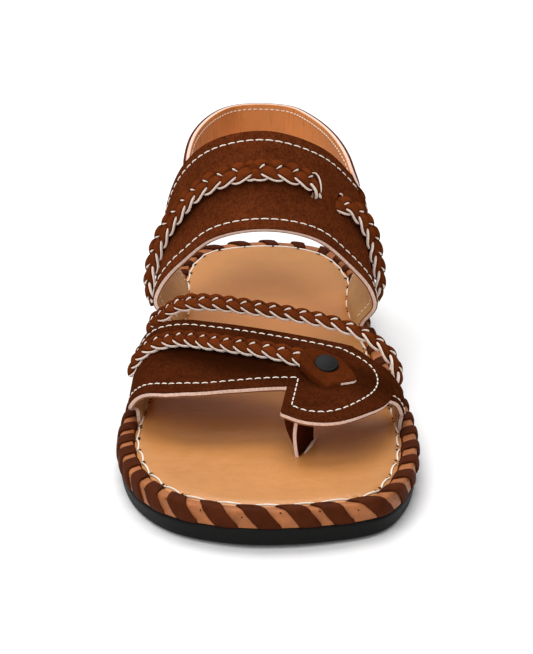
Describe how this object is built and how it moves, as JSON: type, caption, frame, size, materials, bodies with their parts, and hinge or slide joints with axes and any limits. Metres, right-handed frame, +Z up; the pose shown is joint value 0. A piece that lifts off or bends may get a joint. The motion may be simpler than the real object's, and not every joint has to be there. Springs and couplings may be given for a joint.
{
  "type": "strap sandal",
  "caption": "Flat leather strap sandal with a laced edge, toe post, front strap, wide instep strap, heel strap and plaited trim, worn on the right foot.",
  "frame": {"origin": "on the floor, under the middle of the sandal's outline", "axes": "+Z up, toe towards -Y, heel towards +Y, +X to the big-toe side"},
  "size_m": [0.1062, 0.2854, 0.0939],
  "materials": {
    "outsole_rubber": "matt black moulded rubber",
    "insole_leather": "smooth padded tan leather, low gloss",
    "rand_leather": "tan leather with a worn low gloss",
    "lace_leather": "dark brown flat lace",
    "strap_suede": "brown suede with a tan lining and pale raw edges",
    "plait_suede": "brown suede strips with pale cut edges",
    "rivet_metal": "black enamelled dome"
  },
  "bodies": {
    "root": {"outsole": "outsole_rubber", "insole": "insole_leather", "rand": "rand_leather", "edge_lacing": "lace_leather", "front_strap": "strap_suede", "toe_post": "strap_suede", "instep_strap": "strap_suede", "front_braid": "plait_suede", "middle_braid": "plait_suede", "instep_braid": "plait_suede", "braid_tab": "strap_suede", "rivet": "rivet_metal"}
  },
  "joints": []
}
